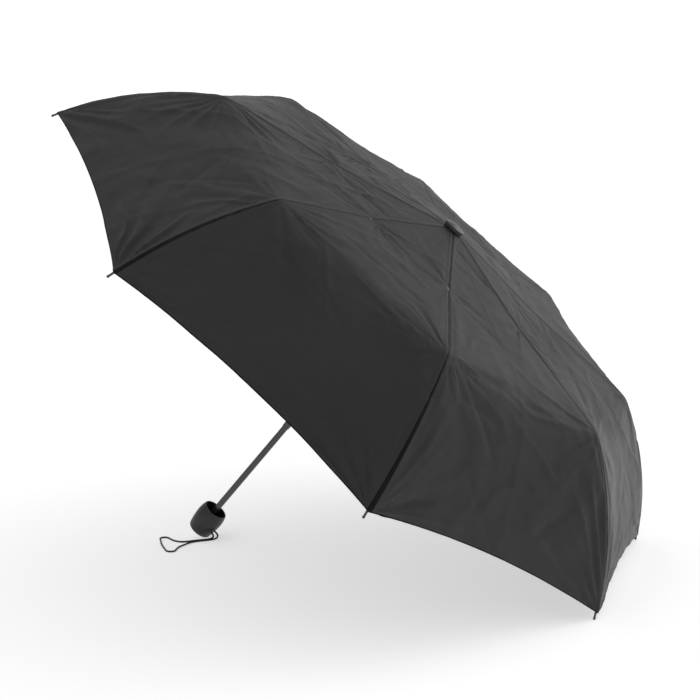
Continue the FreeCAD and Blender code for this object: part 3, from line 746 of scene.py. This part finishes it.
STRAP_RADIUS = 0.00125
STRAP_ROUTE = [
    (-0.2153, 0.0028, 0.0108),
    (-0.2124, 0.0036, 0.0084),
    (-0.2093, 0.0037, 0.0058),
    (-0.2063, 0.0014, 0.0036),
    (-0.2046, -0.0032, 0.0021),
    (-0.2048, -0.0086, 0.0015),
    (-0.2074, -0.0146, 0.0013),
    (-0.2130, -0.0204, 0.0013),
    (-0.2204, -0.0264, 0.0013),
    (-0.2268, -0.0332, 0.0013),
    (-0.2312, -0.0420, 0.0013),
    (-0.2332, -0.0525, 0.0013),
    (-0.2356, -0.0635, 0.0013),
    (-0.2346, -0.0740, 0.0013),
    (-0.2332, -0.0805, 0.0013),
    (-0.2328, -0.0845, 0.0013),
    (-0.2348, -0.0879, 0.0013),
    (-0.2384, -0.0896, 0.0013),
    (-0.2423, -0.0887, 0.0013),
    (-0.2454, -0.0856, 0.0013),
    (-0.2506, -0.0780, 0.0013),
    (-0.2592, -0.0660, 0.0013),
    (-0.2676, -0.0515, 0.0013),
    (-0.2730, -0.0410, 0.0013),
    (-0.2766, -0.0344, 0.0013),
    (-0.2773, -0.0304, 0.0013),
    (-0.2754, -0.0269, 0.0013),
    (-0.2717, -0.0254, 0.0013),
    (-0.2674, -0.0269, 0.0013),
    (-0.2614, -0.0326, 0.0013),
    (-0.2530, -0.0384, 0.0013),
    (-0.2440, -0.0402, 0.0013),
    (-0.2364, -0.0366, 0.0013),
    (-0.2303, -0.0297, 0.0013),
    (-0.2234, -0.0236, 0.0013),
    (-0.2166, -0.0184, 0.0013),
    (-0.2119, -0.0152, 0.0015),
    (-0.2089, -0.0127, 0.0025),
    (-0.2078, -0.0100, 0.0044),
    (-0.2095, -0.0076, 0.0062),
    (-0.2123, -0.0063, 0.0082),
    (-0.2147, -0.0052, 0.0101),
]


def wrist_strap():
    curve = bpy.data.curves.new("wrist_strap_cord", "CURVE")
    curve.dimensions = "3D"
    spline = curve.splines.new("NURBS")
    spline.points.add(len(STRAP_ROUTE) - 1)
    for point, place in zip(spline.points, STRAP_ROUTE):
        point.co = (*place, 1)
    spline.order_u = 3
    spline.use_endpoint_u = True
    spline.resolution_u = 8
    curve.bevel_depth = STRAP_RADIUS
    curve.bevel_resolution = 4
    curve.use_fill_caps = True
    curve.materials.append(MATERIALS["strap_cord"])
    strap = bpy.data.objects.new("wrist_strap_cord", curve)
    bpy.context.scene.collection.objects.link(strap)
    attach(strap, "handle_and_lower_tube")
    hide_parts("wrist_strap")


wrist_strap()


# ---- the stage: a white floor in front of a white background, soft light, and the camera

WORLD_LIGHT = 0.55
BACKGROUND = 1.2
PAPER_GLOW = 0.5
PAPER_REACH = 40.0
LIGHTS_AIM = (0.0, 0.0, 0.3)

# Each light's name, place, size and power in watts
LIGHTS = (
    ("back", (2.4, 2.6, 1.9), (3.0, 2.0), 16.0),
    ("top", (-0.4, 0.4, 3.2), (2.2, 2.2), 3.0),
    ("front_fill", (-1.2, -3.4, 1.8), (2.6, 1.8), 3.0),
)
CAMERA_PLACE = (0.5945, -1.9533, 0.5759)
CAMERA_AZIMUTH = 17.4036
CAMERA_DOWN = 8.4477
CAMERA_ROLL = 0.6154
CAMERA_LENS = 80.861
SENSOR_WIDTH = 36.0


def floor():
    """A wide sheet of white paper."""
    reach = PAPER_REACH
    corners = [(-reach, -reach, 0), (reach, -reach, 0), (reach, reach, 0), (-reach, reach, 0)]
    mesh = bpy.data.meshes.new("floor")
    mesh.from_pydata(corners, [], [(0, 1, 2, 3)])
    paper = Surface("white_paper", Roughness=0.9, Specular_IOR_Level=0.0)
    place = paper.node("ShaderNodeTexCoord").outputs["Object"]
    paper.set(Base_Color=paper.mix(paper.noise(place, 2.0), (0.94, 0.94, 0.94), (0.96, 0.96, 0.96)))
    paper.shader.inputs["Emission Color"].default_value = (1, 1, 1, 1)
    paper.shader.inputs["Emission Strength"].default_value = PAPER_GLOW
    mesh.materials.append(paper.material)
    new_object("floor", mesh)


def area_light(name, place, target, size, power):
    light = bpy.data.lights.new(name, "AREA")
    light.shape = "RECTANGLE"
    light.size, light.size_y = size
    light.energy = power
    lamp = bpy.data.objects.new(name, light)
    bpy.context.scene.collection.objects.link(lamp)
    lamp.location = place
    lamp.rotation_mode = "QUATERNION"
    lamp.rotation_quaternion = (Vector(target) - Vector(place)).to_track_quat("-Z", "Y")


def studio():
    world = bpy.data.worlds.new("studio")
    world.use_nodes = True
    tree = world.node_tree
    light = next(n for n in tree.nodes if n.type == "BACKGROUND")
    light.inputs["Color"].default_value = (1, 1, 1, 1)
    seen = tree.nodes.new("ShaderNodeLightPath").outputs["Is Camera Ray"]
    strength = tree.nodes.new("ShaderNodeMapRange")
    strength.inputs["To Min"].default_value = WORLD_LIGHT
    strength.inputs["To Max"].default_value = BACKGROUND
    tree.links.new(seen, strength.inputs["Value"])
    tree.links.new(strength.outputs["Result"], light.inputs["Strength"])
    bpy.context.scene.world = world
    for name, place, size, power in LIGHTS:
        area_light(name, place, LIGHTS_AIM, size, power)


def camera():
    data = bpy.data.cameras.new("camera")
    data.sensor_width = SENSOR_WIDTH
    data.lens = CAMERA_LENS
    eye = bpy.data.objects.new("camera", data)
    bpy.context.scene.collection.objects.link(eye)
    turned = Matrix.Rotation(math.radians(CAMERA_AZIMUTH), 4, "Z")
    tipped = Matrix.Rotation(math.radians(90 - CAMERA_DOWN), 4, "X")
    rolled = Matrix.Rotation(math.radians(CAMERA_ROLL), 4, "Z")
    eye.matrix_world = Matrix.Translation(CAMERA_PLACE) @ turned @ tipped @ rolled
    bpy.context.scene.camera = eye


floor()
studio()
camera()
bpy.context.scene.view_settings.view_transform = "Standard"
